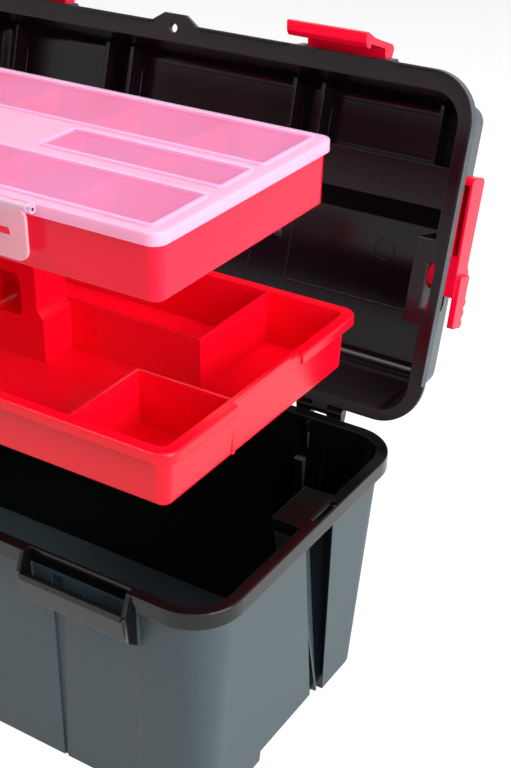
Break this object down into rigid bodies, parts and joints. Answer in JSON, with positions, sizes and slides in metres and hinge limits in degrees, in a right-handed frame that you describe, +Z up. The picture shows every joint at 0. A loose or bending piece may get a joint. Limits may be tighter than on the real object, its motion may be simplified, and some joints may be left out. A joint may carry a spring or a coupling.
{
  "type": "tool case",
  "caption": "Open moulded tool case with hinged lid, folding carry handle, snap latches, lift-out tote tray and lidded parts organizer.",
  "frame": {"origin": "on the floor under the centre of the tub's rim", "axes": "+X along the case's length to the right seen from the front, -Y towards the front with the latches, +Z up"},
  "size_m": [0.534, 0.4061, 0.4822],
  "materials": {
    "tub_shell": "fine textured dark slate, glossy rim",
    "lid_shell": "near-black, glossy inside",
    "red_plastic": "glossy red",
    "clear_plastic": "frosted translucent",
    "pin_steel": "bright drawn pin"
  },
  "bodies": {
    "tub": {"tub": "tub_shell", "hinge_pins": "pin_steel"},
    "lid": {"lid": "lid_shell", "handle_pins": "pin_steel", "latch_pins": "pin_steel"},
    "carry_handle": {"carry_handle": "red_plastic"},
    "latch_left": {"latch_left": "red_plastic"},
    "latch_right": {"latch_right": "red_plastic"},
    "tote_tray": {"tote_tray": "red_plastic"},
    "organizer": {"organizer_base": "red_plastic", "organizer_hinge_pins": "pin_steel"},
    "organizer_lid": {"organizer_lid": "clear_plastic", "organizer_clip_pins": "pin_steel"},
    "organizer_clip_left": {"organizer_clip_left": "clear_plastic"},
    "organizer_clip_right": {"organizer_clip_right": "clear_plastic"}
  },
  "joints": [
    {"name": "lid_hinge", "type": "hinge", "parent": "tub", "child": "lid", "pos_m": [0, 0.1325, 0.2025], "axis": [-1, 0, 0], "range_deg": [-105.7, 0]},
    {"name": "handle_pivot", "type": "hinge", "parent": "lid", "child": "carry_handle", "pos_m": [0, 0.18719, 0.31022], "axis": [-1, 0, 0], "range_deg": [0, 60]},
    {"name": "latch_left_pivot", "type": "hinge", "parent": "lid", "child": "latch_left", "pos_m": [-0.148, 0.21283, 0.44948], "axis": [-1, 0, 0], "range_deg": [-4.5, 90]},
    {"name": "latch_right_pivot", "type": "hinge", "parent": "lid", "child": "latch_right", "pos_m": [0.148, 0.21283, 0.44948], "axis": [-1, 0, 0], "range_deg": [-4.5, 90]},
    {"name": "tote_lift", "type": "slide", "parent": "tub", "child": "tote_tray", "axis": [0, -0.0372, 0.9993], "range_m": [-0.13429, 0]},
    {"name": "organizer_lift", "type": "slide", "parent": "tub", "child": "organizer", "axis": [0, -0.1827, 0.9832], "range_m": [-0.19702, 0]},
    {"name": "organizer_lid_hinge", "type": "hinge", "parent": "organizer", "child": "organizer_lid", "pos_m": [0, 0.0675, 0.4393], "axis": [-1, 0, 0], "range_deg": [0, 100]},
    {"name": "organizer_clip_left_hinge", "type": "hinge", "parent": "organizer_lid", "child": "organizer_clip_left", "pos_m": [-0.099, -0.1276, 0.4433], "axis": [-1, 0, 0], "range_deg": [0, 90]},
    {"name": "organizer_clip_right_hinge", "type": "hinge", "parent": "organizer_lid", "child": "organizer_clip_right", "pos_m": [0.099, -0.1276, 0.4433], "axis": [-1, 0, 0], "range_deg": [0, 90]}
  ],
  "couplings": [
    {"joint": "tote_lift", "follows": "lid_hinge", "m_per_rad": 0.072795},
    {"joint": "organizer_lift", "follows": "lid_hinge", "m_per_rad": 0.1068}
  ]
}
